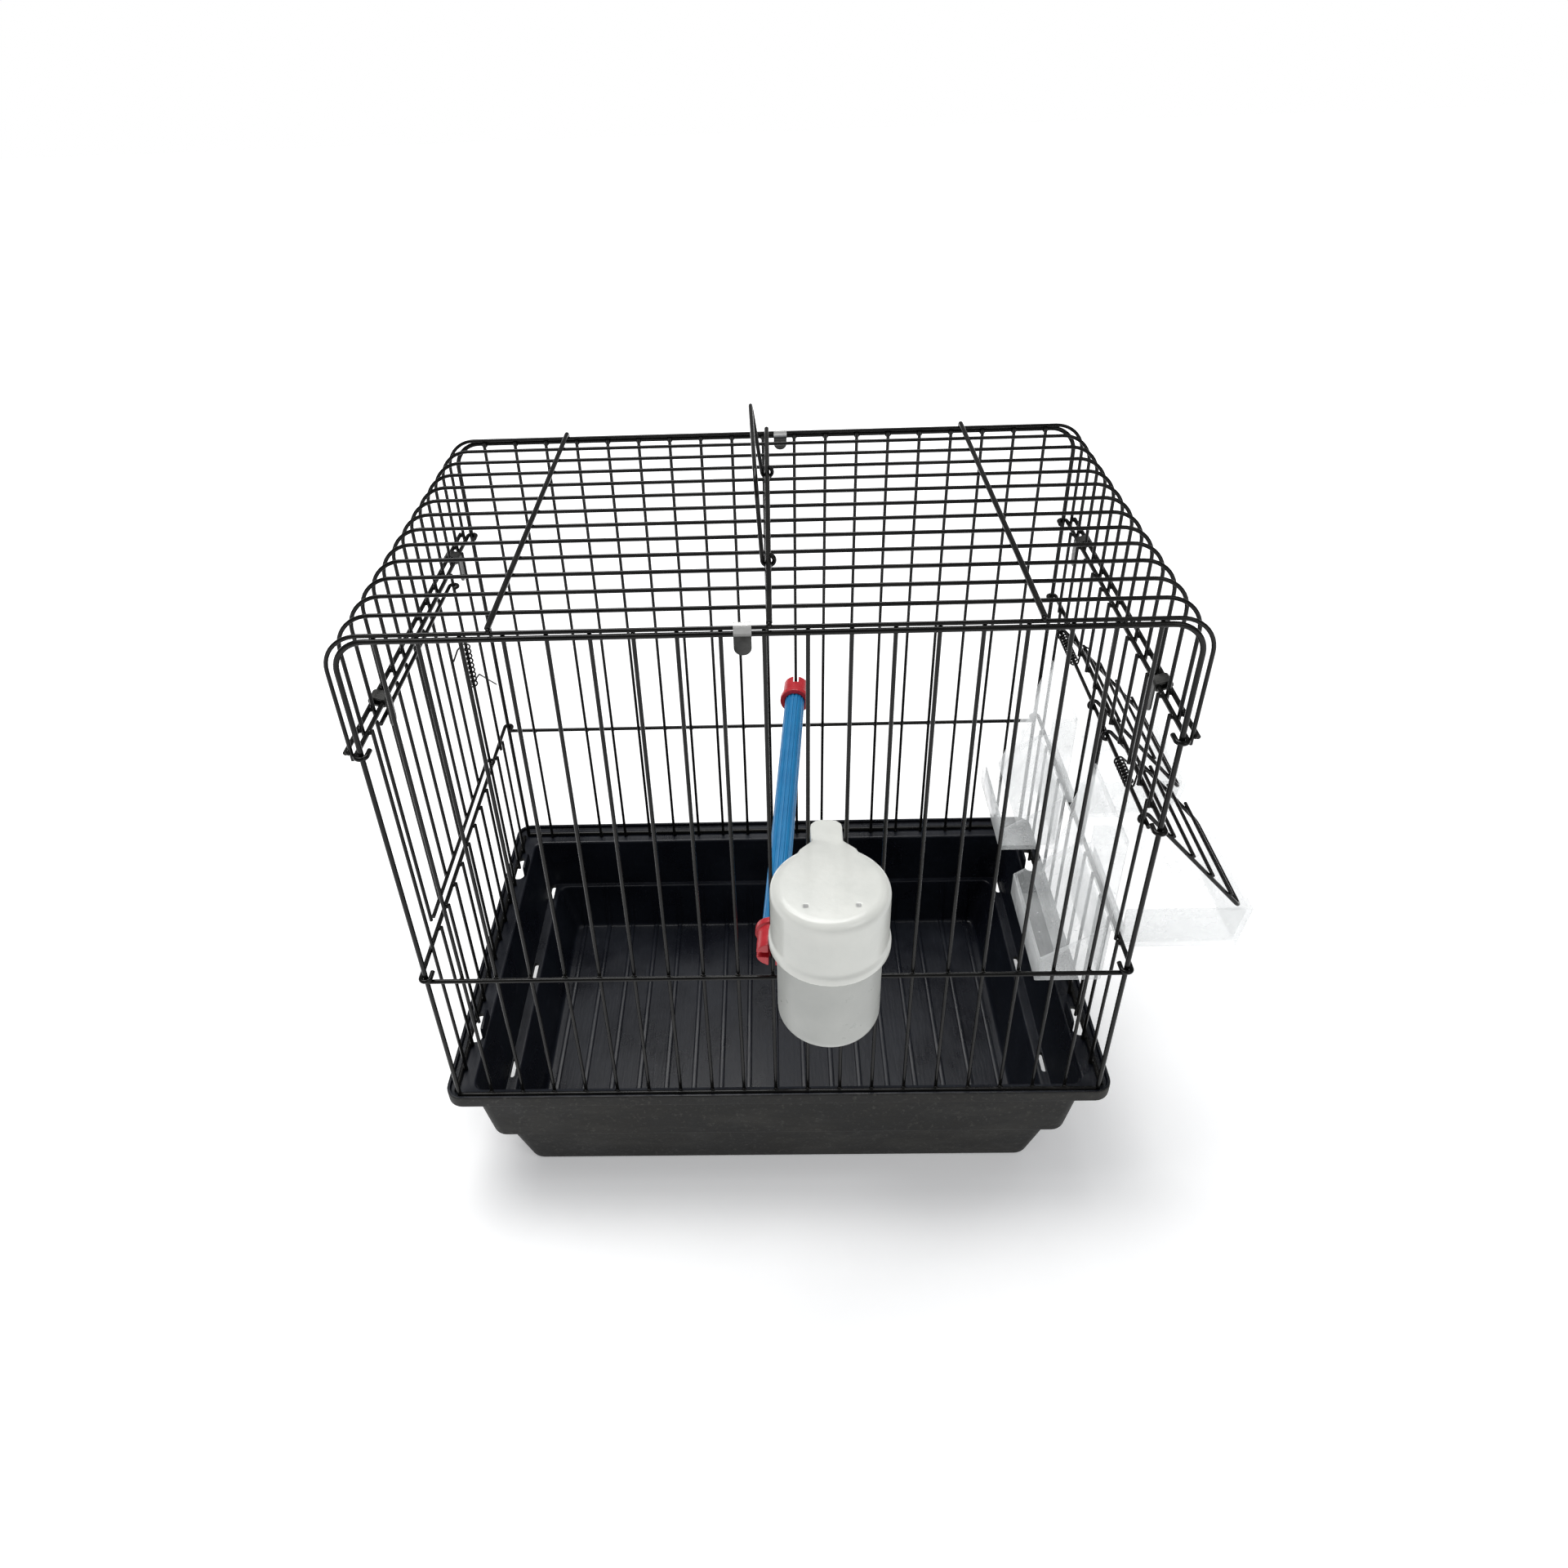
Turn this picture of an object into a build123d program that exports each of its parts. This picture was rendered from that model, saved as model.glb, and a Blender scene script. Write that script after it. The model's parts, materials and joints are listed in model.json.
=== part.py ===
from build123d import *
from math import asin, atan2, ceil, cos, dist, pi, radians, sin, sqrt

# A wire bird cage on a moulded tray, in millimetres. The origin is under the
# middle of the tray, +Z is up, +X is the right side and -Y is the front.

# Wire sizes, as radii
bar_r = 0.8
frame_r = 1.05
rail_r = 1.0
door_rail_r = 0.9
stiffener_r = 1.1
handle_r = 0.85
spring_r = 0.45
clear = 0.3

# Cage plan: pitch of the bars and number of gaps between corner wires
front_pitch = 15.0
front_count = 20
side_pitch = 14.23
side_count = 13
frame_y = 93.4

# Heights above the tray's rim
seat_drop = 1.0
front_mid = 77.5
side_mid = 80.0
feeder_rail = 157.0
side_top = 200.0
wall_top = 248.7
roof_rail = 201.2
roof_leg_end = 197.5
frame_bend = 12.0
roof_bend = 14.0
hook_gap = 0.05
hook_tail = 3.5

# Tray
tray_height = 68.0
rim_side_margin = 7.0
rim_front_margin = 3.0
rim_back_margin = 7.6
rim_corner = 8.0
rim_face = 6.5
rim_lip = 1.4
tray_wall = 2.0
well_side_inset = 3.5
well_front_inset = 1.9
well_back_inset = 4.9
well_taper_x = 5.5
well_taper_y = 1.0
well_corner = 7.0
ledge_height = 30.5
ledge_width_x = 5.5
ledge_width_y = 3.0
sump_taper_x = 8.0
sump_taper_y = 3.5
sump_round = 4.0
ridge_pitch = 15.0
ridge_width = 3.0
ridge_height = 1.0
ridge_margin = 6.0
flange_slot_width = 6.5
flange_slot_length = 18.0
flange_slot_y = (-53.0, 64.0)
tab_length = 13.0
tab_height = 9.0
tab_thickness = 1.4
ledge_slot_width = 2.5
ledge_slot_length = 12.0
ledge_slot_y = (-52.0, 14.0, 78.0)

# Left door: its hinge bar and its free edge are counted in side gaps
hinge_count = 10
latch_count = 2
door_bottom = 88.0
door_top = 194.3
door_nub = 3.0
spare_bar_y = 72.8
eye_turn = 255.0
door_spring_low = 137.0
door_spring_turns = 9.0
door_spring_pitch = 2.72
door_spring_anchor = 109.5
door_spring_knee = 18.0
door_spring_leg = 17.0
spring_mean_r = 1.85

# Feeder flaps and the posts beside them
flap_rod_height = 146.0
flap_rod_spare = 3.0
flap_length = 71.0
flap_rest = 0.672
flap_bar_gap = 15.0
flap_bars = 4
flap_corner = 4.0
flap_nub = 1.0
front_flap_middle = -44.55
front_flap_width = 57.3
rear_flap_middle = 40.9
rear_flap_width = 64.6
post_gap = 2.5
front_spring_y = -51.4
front_spring_turns = 7.875
front_spring_pitch = 2.2
rear_spring_y = 45.9
rear_spring_turns = 9.875
rear_spring_pitch = 2.45
flap_spring_rise = 12.0
flap_spring_over = 2.0

# Feeders
feeder_width = 57.0
rear_feeder_shift = 3.0
feeder_wall = 1.5
trough_depth = 30.0
trough_floor = 50.0
trough_lip = 63.0
saddle_clear = 0.6
hopper_floor = 71.0
hopper_reach = 54.3
hopper_flare = 3.0
hopper_lip = 93.5
hood_apex = 132.0
hood_wall = 1.6
hood_foot = 8.0
hood_seat = 0.05

# Roof fittings
stiffener_x = (-94.5, 1.8, 94.5)
stiffener_wrap = 70.0
handle_height = 33.0
handle_bend = 9.0
handle_shift = 3.8
handle_leans = (3.0, 7.5)
handle_counts = (3, 9)
strap = 0.8
strap_slack = 0.1
front_clip_x = -7.4
back_clip_x = 8.3
centre_clip_width = 6.2
centre_clip_tongue = 7.5
side_clip_width = 6.0
side_clip_tongue = 12.0
side_clip_y = (-56.0, 68.4)

# Drinker
drinker_count = 1.5
lip_r = 23.7
lip_clear = 0.35
lip_height = 3.0
cap_r = 22.8
cap_base = 124.2
cap_top = 154.0
cap_round = 4.0
cap_wall = 1.9
cup_wall = 1.6
cup_bottom = 81.5
cup_top = 142.0
cup_round = 7.0
spout_clear = 0.4
spout_height = 14.0
spout_reach = 11.6
spout_flare = 5.0
spout_round = 4.0
spout_mouth = 5.0
pin_spacing = 19.2
pin_front = 11.5
pin_size = 2.0
pin_depth = 0.4

# Perch
perch_r = 5.3
perch_front_count = 0
perch_back_count = 1
perch_front_height = 93.0
perch_back_height = 103.0
perch_cap_r = 8.0
perch_cap_rim = 3.0
perch_barrel_r = 6.8
perch_barrel = 8.0
perch_seat = 3.0
perch_fit = 0.05
perch_flutes = 16
flute_r = 0.5
fork_out = 3.5
fork_slot = 2.9

# Places worked out from the sizes above
seat_z = tray_height - seat_drop
flange_z = seat_z - frame_r - clear
corner_x = front_pitch * front_count / 2
rim_length = 2 * (corner_x + rim_side_margin)
rim_front = frame_y + rim_front_margin
rim_back = frame_y + rim_back_margin
well_length = 2 * (corner_x - well_side_inset)
well_front = frame_y - well_front_inset
well_back = frame_y - well_back_inset
hook_r = frame_r + rail_r + hook_gap
rail_x = corner_x + hook_r
side_bar_x = rail_x - rail_r - bar_r
leg_x = rail_x + rail_r + bar_r
roof_rail_x = leg_x + bar_r + rail_r
front_bar_y = frame_y - frame_r - bar_r
front_rail_y = front_bar_y + bar_r + rail_r
front_bar_xs = [front_pitch * i - corner_x for i in range(1, front_count)]
side_ys = [side_pitch * (i - side_count / 2) for i in range(side_count + 1)]
hinge_y = side_ys[hinge_count]
latch_y = side_ys[latch_count]
top_z = tray_height + wall_top
roof_z = top_z + frame_r + bar_r
roof_rail_z = tray_height + roof_rail
side_top_z = tray_height + side_top
side_mid_z = tray_height + side_mid
feeder_rail_z = tray_height + feeder_rail
eye_r = bar_r + clear + door_rail_r
flap_eye_r = door_rail_r + clear + door_rail_r
flap_rod_x = side_bar_x + bar_r + door_rail_r
flap_rod_z = tray_height + flap_rod_height
flap_reach = sqrt(flap_length**2 + flap_eye_r**2)
flap_drop = flap_rod_z - door_rail_r - flap_rest - tray_height - hopper_lip
flap_lean = asin(flap_drop / flap_reach) + atan2(flap_eye_r, flap_length)
front_flap_half = front_flap_width / 2
rear_flap_half = rear_flap_width / 2
post_ys = [
    front_flap_middle - front_flap_half - post_gap,
    front_flap_middle + front_flap_half + post_gap,
    rear_flap_middle - rear_flap_half - post_gap,
    rear_flap_middle + rear_flap_half + post_gap,
]
feeder_back = side_bar_x - bar_r - saddle_clear
feeder_front = feeder_back - trough_depth
hopper_back = rail_x + rail_r + saddle_clear
saddle_z = side_mid_z + rail_r + clear
saddle_top = saddle_z + feeder_wall
stiffener_z = roof_z + bar_r + stiffener_r
handle_eye_r = stiffener_r + clear + handle_r
drinker_x = front_pitch * drinker_count
drinker_y = -front_bar_y - bar_r - lip_clear - lip_r
cup_r = cap_r - cap_wall - clear


def wire(radius, points, bend=0.0):
    """A round wire along the points, with its corners bent."""
    with BuildPart() as piece:
        with BuildLine() as path:
            if bend:
                FilletPolyline(*points, radius=bend)
            else:
                Polyline(*points)
        with BuildSketch(Plane(path.line @ 0, z_dir=path.line % 0)):
            Circle(radius)
        sweep()
    return piece


def tray():
    """The moulded tray: rim, upper well, ledge, sump and ridged floor."""
    rim_mid = (rim_back - rim_front) / 2
    rim_depth = rim_back + rim_front
    inner_length = rim_length - 2 * rim_lip
    inner_depth = rim_depth - 2 * rim_lip
    inner_corner = rim_corner - rim_lip
    well_mid = (well_back - well_front) / 2
    well_depth = well_back + well_front
    ledge_length = well_length - 2 * well_taper_x
    ledge_depth = well_depth - 2 * well_taper_y
    sump_length = ledge_length - 2 * ledge_width_x
    sump_depth = ledge_depth - 2 * ledge_width_y
    floor_length = sump_length - 2 * sump_taper_x
    floor_depth = sump_depth - 2 * sump_taper_y
    flange_low = flange_z - tray_wall
    ledge_top = ledge_height + tray_wall
    wall = 2 * tray_wall
    bore_corner = well_corner - tray_wall
    with BuildPart() as body:
        with BuildSketch(Plane.XY.offset(tray_height - rim_face)):
            with Locations((0, rim_mid)):
                RectangleRounded(rim_length, rim_depth, rim_corner)
        extrude(amount=rim_face)
        with BuildSketch(Plane.XY.offset(tray_height - rim_face)):
            with Locations((0, rim_mid)):
                RectangleRounded(inner_length, inner_depth, inner_corner)
        extrude(amount=flange_low - tray_height + rim_face, mode=Mode.SUBTRACT)
        with BuildSketch(Plane.XY.offset(flange_z)):
            with Locations((0, rim_mid)):
                RectangleRounded(inner_length, inner_depth, inner_corner)
        extrude(amount=rim_face, mode=Mode.SUBTRACT)
        with BuildSketch(Plane.XY.offset(ledge_height)):
            with Locations((0, well_mid)):
                RectangleRounded(ledge_length, ledge_depth, well_corner)
        with BuildSketch(Plane.XY.offset(flange_z - tray_wall / 2)):
            with Locations((0, well_mid)):
                RectangleRounded(well_length, well_depth, well_corner)
        loft()
        with BuildSketch():
            with Locations((0, well_mid)):
                RectangleRounded(floor_length, floor_depth, well_corner)
        with BuildSketch(Plane.XY.offset(ledge_height)):
            with Locations((0, well_mid)):
                RectangleRounded(sump_length, sump_depth, well_corner)
        loft()
        fillet(body.faces().sort_by(Axis.Z)[0].edges(), sump_round)
        with BuildSketch(Plane.XY.offset(ledge_top)):
            with Locations((0, well_mid)):
                RectangleRounded(ledge_length - wall, ledge_depth - wall, bore_corner)
        with BuildSketch(Plane.XY.offset(flange_z)):
            with Locations((0, well_mid)):
                RectangleRounded(well_length - wall, well_depth - wall, bore_corner)
        loft(mode=Mode.SUBTRACT)
        with BuildSketch(Plane.XY.offset(tray_wall)):
            with Locations((0, well_mid)):
                RectangleRounded(floor_length - wall, floor_depth - wall, bore_corner)
        with BuildSketch(Plane.XY.offset(ledge_top)):
            with Locations((0, well_mid)):
                RectangleRounded(sump_length - wall, sump_depth - wall, bore_corner)
        loft(mode=Mode.SUBTRACT)
        ridge_reach = floor_depth / 2 - ridge_margin
        ridge_count = int((floor_length / 2 - well_corner) / ridge_pitch) * 2 + 1
        with BuildSketch(Plane.XZ.offset(-well_mid - ridge_reach)):
            with Locations((0, tray_wall)):
                with GridLocations(ridge_pitch, 0, ridge_count, 1):
                    Rectangle(ridge_width, 2 * ridge_height)
        extrude(amount=2 * ridge_reach)
        with BuildSketch(Plane.XY.offset(tray_height)):
            with Locations(*[(x * corner_x, y) for x in (-1, 1) for y in flange_slot_y]):
                SlotOverall(flange_slot_length, flange_slot_width, rotation=90)
        extrude(amount=-rim_face, mode=Mode.SUBTRACT)
        slot_x = (ledge_length - ledge_width_x - tray_wall) / 2
        with BuildSketch(Plane.XY.offset(ledge_top + tray_wall)):
            with Locations(*[(x * slot_x, y) for x in (-1, 1) for y in ledge_slot_y]):
                SlotOverall(ledge_slot_length, ledge_slot_width, rotation=90)
        extrude(amount=-4 * tray_wall, mode=Mode.SUBTRACT)
        tab_x = corner_x - (flange_slot_width + tab_thickness) / 2
        with BuildSketch(Plane.XY.offset(flange_low)):
            with Locations(*[(x * tab_x, y) for x in (-1, 1) for y in flange_slot_y]):
                Rectangle(tab_thickness, tab_length)
        extrude(amount=tab_height + tray_wall)
    return body


def end_panel(side):
    """The front or back wall: a bent frame wire, two rails and upright bars."""
    foot = seat_z - rail_r
    y = side * frame_y
    outline = [(-corner_x, y, foot), (-corner_x, y, top_z), (corner_x, y, top_z), (corner_x, y, foot)]
    rail_half = corner_x - frame_r
    frame_wire = wire(frame_r, outline, frame_bend)
    with BuildPart() as panel:
        with BuildSketch(Plane.XY.offset(foot)):
            with Locations(*[(x, side * front_bar_y) for x in front_bar_xs]):
                Circle(bar_r)
        extrude(amount=top_z + bar_r - foot)
        with BuildSketch(Plane.YZ.offset(-rail_half)):
            with Locations(*[(side * front_rail_y, z) for z in (seat_z, tray_height + front_mid)]):
                Circle(rail_r)
        extrude(amount=2 * rail_half)
        add(frame_wire.part)
    return panel


def hooked_rail(side, z):
    """A side rail whose two ends hook round the corner wires."""
    outer = side * rail_x
    inner = side * (corner_x - hook_r)
    with BuildPart() as rail:
        with BuildLine(Plane.XY.offset(z)) as path:
            tail = Line((inner, hook_tail - frame_y), (inner, -frame_y))
            hook = JernArc(tail @ 1, (0, -1), hook_r, side * 180)
            run = Line(hook @ 1, (outer, frame_y))
            far_hook = JernArc(run @ 1, (0, 1), hook_r, side * 180)
            Line(far_hook @ 1, (inner, frame_y - hook_tail))
        with BuildSketch(Plane(path.line @ 0, z_dir=path.line % 0)):
            Circle(rail_r)
        sweep()
    return rail


def side_panel(side, rail_heights, uprights):
    """A side wall: a bottom rail, hooked rails, and groups of upright bars."""
    rails = [hooked_rail(side, z) for z in rail_heights]
    with BuildPart() as panel:
        with BuildSketch(Plane.XZ.offset(2 * rail_r - frame_y)):
            with Locations((side * rail_x, seat_z)):
                Circle(rail_r)
        extrude(amount=2 * frame_y - 4 * rail_r)
        for rail in rails:
            add(rail.part)
        for ys, low, high in uprights:
            with BuildSketch(Plane.XY.offset(low - bar_r)):
                with Locations(*[(side * side_bar_x, y) for y in ys]):
                    Circle(bar_r)
            extrude(amount=high - low + 2 * bar_r)
    return panel


def stiffener(x):
    """A wire across the roof wires, wrapped round the rear one."""
    half = side_ys[-1]
    with BuildPart() as piece:
        with BuildLine(Plane.YZ.offset(x)) as path:
            run = Line((-half, stiffener_z), (half, stiffener_z))
            JernArc(run @ 1, (1, 0), bar_r + stiffener_r, -stiffener_wrap)
        with BuildSketch(Plane(path.line @ 0, z_dir=path.line % 0)):
            Circle(stiffener_r)
        sweep()
    return piece


def roof_panel():
    """Bent roof wires with legs down both sides, lower rails and stiffeners."""
    leg_end = tray_height + roof_leg_end
    arch = [(-leg_x, 0, leg_end), (-leg_x, 0, roof_z), (leg_x, 0, roof_z), (leg_x, 0, leg_end)]
    roof_wire = wire(bar_r, arch, roof_bend)
    stiffeners = [stiffener(x) for x in stiffener_x]
    half = side_ys[-1] + bar_r
    with BuildPart() as roof:
        with Locations(*[(0, y, 0) for y in side_ys]):
            add(roof_wire.part)
        with BuildSketch(Plane.XZ.offset(-half)):
            with Locations((-roof_rail_x, roof_rail_z), (roof_rail_x, roof_rail_z)):
                Circle(rail_r)
        extrude(amount=2 * half)
        for piece in stiffeners:
            add(piece.part)
    return roof


def door_rail(z):
    """A door rail, rolled round the hinge bar at its rear end."""
    x = -side_bar_x - eye_r
    with BuildPart() as rail:
        with BuildLine(Plane.XY.offset(z)) as path:
            run = Line((x, latch_y - bar_r), (x, hinge_y))
            JernArc(run @ 1, (0, 1), eye_r, -eye_turn)
        with BuildSketch(Plane(path.line @ 0, z_dir=path.line % 0)):
            Circle(door_rail_r)
        sweep()
    return rail


def left_door():
    """The side door: two rails rolled on the hinge bar, and upright bars."""
    low = tray_height + door_bottom
    high = tray_height + door_top
    x = -side_bar_x - eye_r - door_rail_r - bar_r
    ys = side_ys[latch_count:hinge_count]
    rails = [door_rail(z) for z in (low, high)]
    with BuildPart() as door:
        with BuildSketch(Plane.XY.offset(low - door_nub)):
            with Locations(*[(x, y) for y in ys]):
                Circle(bar_r)
        extrude(amount=high + door_rail_r - low + door_nub)
        for rail in rails:
            add(rail.part)
    return door


def torsion_spring(place, turns, pitch, first_leg, last_leg):
    """A coil about the place's Z axis; each leg is a far point and a knee length."""
    steps = ceil(2 * turns)
    rise = pitch / (2 * pi * spring_mean_r)
    level = 1 / sqrt(1 + rise * rise)
    spots = []
    ways = []
    for i in range(steps + 1):
        turned = i / steps * turns
        a = 2 * pi * turned
        spot = Vector(spring_mean_r * cos(a), spring_mean_r * sin(a), pitch * turned)
        spots.append(place.from_local_coords(spot))
        way = place.x_dir * -sin(a) + place.y_dir * cos(a) + place.z_dir * rise
        ways.append(way * level)
    first_far, first_knee = first_leg
    last_far, last_knee = last_leg
    knee_bend = 4 * spring_r
    with BuildPart() as spring:
        with BuildLine() as path:
            FilletPolyline(first_far, spots[0] - ways[0] * first_knee, spots[0], radius=knee_bend)
            for i in range(steps):
                chord = spots[i + 1] - spots[i]
                both = ways[i] + ways[i + 1]
                spread = 2 * (1 - ways[i].dot(ways[i + 1]))
                lean = chord.dot(both)
                reach = (sqrt(lean * lean + spread * chord.dot(chord)) - lean) / spread
                middle = (spots[i] + ways[i] * reach + spots[i + 1] - ways[i + 1] * reach) * 0.5
                first = TangentArc(spots[i], middle, tangent=ways[i])
                TangentArc(middle, spots[i + 1], tangent=first % 1)
            FilletPolyline(spots[-1], spots[-1] + ways[-1] * last_knee, last_far, radius=knee_bend)
        with BuildSketch(Plane(path.line @ 0, z_dir=path.line % 0)):
            Circle(spring_r)
        sweep()
    count = 48 * steps
    whole = path.wire()
    half_turn = ceil(count * pi * spring_mean_r / whole.length)
    line = [tuple(whole @ (i / count)) for i in range(count + 1)]
    nearest = min(dist(a, b) for i, a in enumerate(line) for b in line[i + half_turn :])
    print("least gap between turns", round(nearest - 2 * spring_r, 2))
    return spring


def left_door_spring():
    """The door's spring: its lower leg reaches back to the corner wire."""
    x = -side_bar_x - spring_mean_r
    place = Plane(
        (-side_bar_x, hinge_y, tray_height + door_spring_low), x_dir=(-1, 0, 0), z_dir=(0, 0, 1)
    )
    top = place.origin.Z + door_spring_turns * door_spring_pitch
    anchor = (x, frame_y, tray_height + door_spring_anchor)
    leg_tip = (x, hinge_y - door_spring_leg, top + 2 * spring_r)
    return torsion_spring(
        place,
        door_spring_turns,
        door_spring_pitch,
        (anchor, door_spring_knee),
        (leg_tip, door_spring_leg / 2),
    )


def flap_plane():
    """The plane of a closed flap, whose tip rests over the hopper's lip."""
    down = (cos(flap_lean), 0, -sin(flap_lean))
    outward = (sin(flap_lean), 0, cos(flap_lean))
    return Plane((flap_rod_x, 0, flap_rod_z), x_dir=down, z_dir=outward)


def flap_spring(y, turns, pitch):
    """A flap's spring: one leg on the feeder rail, one over the first bar."""
    closed = flap_plane()
    place = Plane((flap_rod_x, y, flap_rod_z), x_dir=(1, 0, 0), z_dir=(0, 1, 0))
    up = (flap_rod_x + spring_mean_r, y, flap_rod_z + flap_spring_rise)
    bar_top = flap_eye_r + door_rail_r + 2 * bar_r
    end_y = y + turns * pitch + 2 * spring_r
    over = closed.from_local_coords(Vector(flap_bar_gap + flap_spring_over, end_y, bar_top + 3 * spring_r))
    return torsion_spring(place, turns, pitch, (up, flap_spring_rise / 2), (over, flap_bar_gap / 3))


def flap_side(y):
    """One side member of a flap, rolled round the rod."""
    closed = flap_plane()
    side = Plane(closed.from_local_coords(Vector(0, y, 0)), x_dir=closed.x_dir, z_dir=(0, -1, 0))
    with BuildPart() as member:
        with BuildLine(side) as path:
            run = Line((flap_length - flap_corner, flap_eye_r), (0, flap_eye_r))
            JernArc(run @ 1, (-1, 0), flap_eye_r, eye_turn)
        with BuildSketch(Plane(path.line @ 0, z_dir=path.line % 0)):
            Circle(door_rail_r)
        sweep()
    return member


def flap(middle, width):
    """A feeder flap: a wire loop rolled on the rod, with cross bars."""
    closed = flap_plane()
    low = middle - width / 2
    high = middle + width / 2
    near = flap_length - flap_corner
    corners = [(near, low), (flap_length, low), (flap_length, high), (near, high)]
    points = [closed.from_local_coords(Vector(x, y, flap_eye_r)) for x, y in corners]
    edge = wire(door_rail_r, points, flap_corner - clear)
    members = [flap_side(y) for y in (low, high)]
    start = closed.from_local_coords(Vector(0, low - door_rail_r - flap_nub, 0))
    bar_z = flap_eye_r + door_rail_r + bar_r
    with BuildPart() as piece:
        with BuildSketch(Plane(start, x_dir=closed.x_dir, z_dir=(0, 1, 0))):
            with Locations(*[(flap_bar_gap * i, -bar_z) for i in range(1, flap_bars + 1)]):
                Circle(bar_r)
        extrude(amount=width + 2 * door_rail_r + 2 * flap_nub)
        add(edge.part)
        for member in members:
            add(member.part)
    return piece


def flap_rod():
    """The wire along the posts that both flaps hang on."""
    low = post_ys[0] - flap_rod_spare
    high = post_ys[-1] + flap_rod_spare
    with BuildPart() as rod:
        with BuildSketch(Plane.XZ.offset(-low)):
            with Locations((flap_rod_x, flap_rod_z)):
                Circle(door_rail_r)
        extrude(amount=low - high)
    return rod


def feeder_tray(middle):
    """A clear trough that sits over the middle rail, with an outer hopper."""
    floor = tray_height + trough_floor
    outer_floor = tray_height + hopper_floor
    lip = tray_height + hopper_lip
    tip = hopper_back + hopper_reach
    foot = tip - hopper_flare
    hopper_in = hopper_back + feeder_wall
    trough_in = feeder_back - feeder_wall
    profile = [
        (feeder_front, floor),
        (feeder_back, floor),
        (feeder_back, saddle_z),
        (hopper_back, saddle_z),
        (hopper_back, outer_floor),
        (foot, outer_floor),
        (tip, lip),
        (hopper_back, lip),
        (hopper_back, saddle_top),
        (trough_in, saddle_top),
        (feeder_front, tray_height + trough_lip),
    ]
    trough = [
        (feeder_front + feeder_wall, floor + feeder_wall),
        (trough_in, floor + feeder_wall),
        (trough_in, saddle_top + feeder_wall),
        (feeder_front + feeder_wall, saddle_top + feeder_wall),
    ]
    hopper = [
        (hopper_in, outer_floor + feeder_wall),
        (foot - feeder_wall, outer_floor + feeder_wall),
        (tip - feeder_wall, lip + feeder_wall),
        (hopper_back - feeder_wall, lip + feeder_wall),
        (hopper_back - feeder_wall, saddle_top),
        (hopper_in, saddle_top),
    ]
    half = feeder_width / 2
    with BuildPart() as body:
        with BuildSketch(Plane.XZ.offset(-middle - half)):
            Polygon(*profile, align=None)
        extrude(amount=feeder_width)
        for pocket in (trough, hopper):
            with BuildSketch(Plane.XZ.offset(-middle - half + feeder_wall)):
                Polygon(*pocket, align=None)
            extrude(amount=feeder_width - 2 * feeder_wall, mode=Mode.SUBTRACT)
    return body


def feeder_hood(middle):
    """A clear sloped guard that stands in the trough, open to the rear."""
    apex = tray_height + hood_apex
    low = tray_height + trough_lip + hood_wall
    toe = feeder_front + hood_foot
    top_front = feeder_back - hood_wall
    inner_top = apex - 3 * hood_wall
    shelf = saddle_top + hood_seat
    profile = [
        (top_front, apex),
        (feeder_back, apex),
        (feeder_back, shelf),
        (feeder_back - feeder_wall - clear, shelf),
        (toe + hood_wall, low),
        (toe, low),
    ]
    hollow = [
        (top_front, inner_top),
        (feeder_back + hood_wall, inner_top),
        (feeder_back + hood_wall, low - hood_wall),
        (toe + 2 * hood_wall, low - hood_wall),
    ]
    width = feeder_width - 2 * feeder_wall - 2 * clear
    with BuildPart() as hood:
        with BuildSketch(Plane.XZ.offset(-middle - width / 2)):
            Polygon(*profile, align=None)
        extrude(amount=width)
        with BuildSketch(Plane.XZ.offset(-middle - width / 2 + hood_wall)):
            Polygon(*hollow, align=None)
        extrude(amount=width - 2 * hood_wall, mode=Mode.SUBTRACT)
    return hood


def handle_leg_plane(y, lean):
    """The plane of one leg: its origin on the stiffener, Y up along the leg."""
    turn = radians(lean)
    return Plane((stiffener_x[1], y, stiffener_z), x_dir=(cos(turn), 0, sin(turn)), z_dir=(0, -1, 0))


def handle_bail():
    """The carrying handle: a bent wire whose ends are rolled round a stiffener."""
    ys = [side_ys[i] + handle_shift for i in handle_counts]
    legs = [handle_leg_plane(y, lean) for y, lean in zip(ys, handle_leans)]
    straight = handle_height - 2 * handle_bend
    spots = [(legs[0], straight), (legs[0], handle_height), (legs[1], handle_height), (legs[1], straight)]
    points = [leg.from_local_coords(Vector(-handle_eye_r, up, 0)) for leg, up in spots]
    grip = wire(handle_r, points, handle_bend)
    with BuildPart() as bail:
        add(grip.part)
        for leg in legs:
            with BuildLine(leg) as path:
                run = Line((-handle_eye_r, straight), (-handle_eye_r, 0))
                JernArc(run @ 1, (0, -1), handle_eye_r, eye_turn)
            with BuildSketch(Plane(path.line @ 0, z_dir=path.line % 0)):
                Circle(handle_r)
            sweep()
    return bail


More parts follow.
